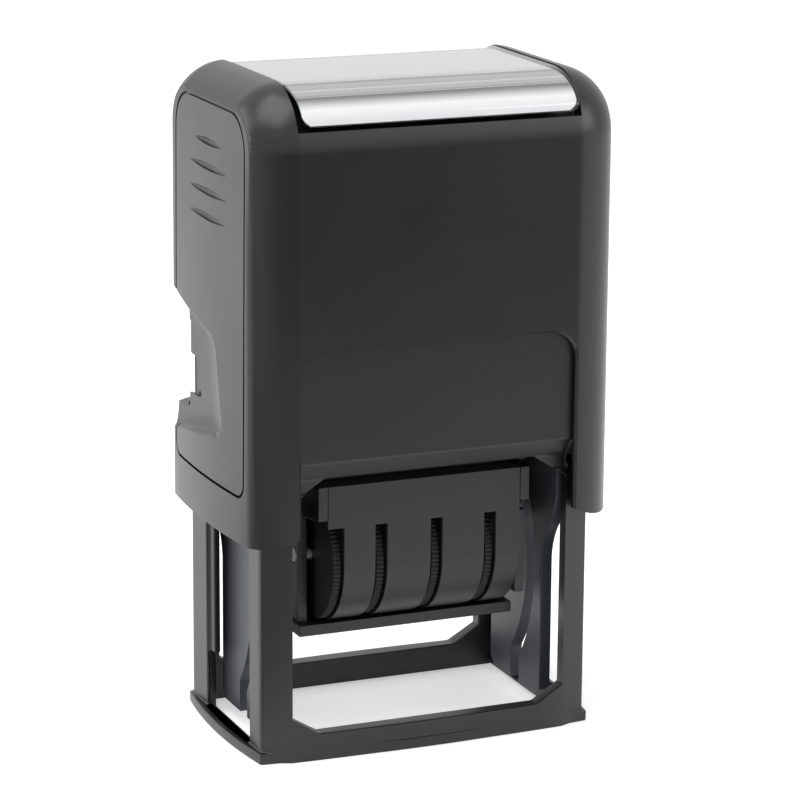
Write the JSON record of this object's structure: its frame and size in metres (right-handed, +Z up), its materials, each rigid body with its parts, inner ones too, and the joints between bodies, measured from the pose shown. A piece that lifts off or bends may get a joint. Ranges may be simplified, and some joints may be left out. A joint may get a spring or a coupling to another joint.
{
  "type": "self-inking date stamp",
  "caption": "Self-inking desk date stamp: a spring-loaded casing slides over an open base frame and flips a rocker with text plate and date bands from ink pad to paper.",
  "frame": {"origin": "centre of the foot's underside, where the stamp stands on the paper", "axes": "+X to the right of the front, +Y to the back where the ink cartridge comes out, +Z up"},
  "size_m": [0.062, 0.0416, 0.1055],
  "materials": {
    "shell_black": "satin",
    "frame_black": "satin",
    "guide_grey": "satin",
    "rocker_black": "satin",
    "wheel_black": "satin",
    "tray_black": "satin",
    "clear_cover": "clear plastic",
    "card_white": "paper",
    "steel": "drawn wire",
    "pad_felt": "inked felt",
    "rubber_dark": "matte"
  },
  "bodies": {
    "frame": {"base_frame": "frame_black", "guide_deck": "frame_black", "spring_seat": "frame_black", "guide_cheek_left": "guide_grey", "guide_cheek_right": "guide_grey", "return_spring": "steel"},
    "cap": {"cap_shell": "shell_black", "index_card": "card_white", "drive_stirrup": "frame_black"},
    "window": {"index_window": "clear_cover"},
    "cartridge": {"cartridge_tray": "tray_black", "ink_pad": "pad_felt"},
    "rocker": {"date_housing": "rocker_black", "rear_cover": "rocker_black", "end_plate_left": "rocker_black", "end_plate_right": "rocker_black", "bottom_strip": "rocker_black", "plate_carrier": "rocker_black", "text_die": "rubber_dark", "wheel_axle": "steel", "band_anvil": "rocker_black", "date_band_1": "rubber_dark", "date_band_2": "rubber_dark", "date_band_3": "rubber_dark", "date_band_4": "rubber_dark"},
    "wheel_1": {"setting_wheel_1": "wheel_black"},
    "wheel_2": {"setting_wheel_2": "wheel_black"},
    "wheel_3": {"setting_wheel_3": "wheel_black"},
    "wheel_4": {"setting_wheel_4": "wheel_black"}
  },
  "joints": [
    {"name": "cap_press", "type": "slide", "parent": "frame", "child": "cap", "axis": [0, 0, -1], "range_m": [0, 0.0212], "stiffness_N_per_m": 150, "springref_m": -0.02, "deforming": ["return_spring"]},
    {"name": "rocker_flip", "type": "hinge", "parent": "cap", "child": "rocker", "pos_m": [0, 0, 0.0342], "axis": [1, 0, 0], "range_deg": [0, 180]},
    {"name": "cartridge_slide", "type": "slide", "parent": "frame", "child": "cartridge", "axis": [0, 1, 0], "range_m": [0, 0.046]},
    {"name": "window_lift", "type": "slide", "parent": "cap", "child": "window", "axis": [0, 0, 1], "range_m": [0, 0.012]},
    {"name": "wheel_1_spin", "type": "hinge", "parent": "rocker", "child": "wheel_1", "pos_m": [-0.0145, -0.0043, 0.0295], "axis": [1, 0, 0], "continuous": true},
    {"name": "wheel_2_spin", "type": "hinge", "parent": "rocker", "child": "wheel_2", "pos_m": [-0.0073, -0.0043, 0.0295], "axis": [1, 0, 0], "continuous": true},
    {"name": "wheel_3_spin", "type": "hinge", "parent": "rocker", "child": "wheel_3", "pos_m": [0.002, -0.0043, 0.0295], "axis": [1, 0, 0], "continuous": true},
    {"name": "wheel_4_spin", "type": "hinge", "parent": "rocker", "child": "wheel_4", "pos_m": [0.0111, -0.0043, 0.0295], "axis": [1, 0, 0], "continuous": true}
  ],
  "couplings": [
    {"joint": "rocker_flip", "follows": "cap_press", "rad_per_m": 148.18}
  ]
}
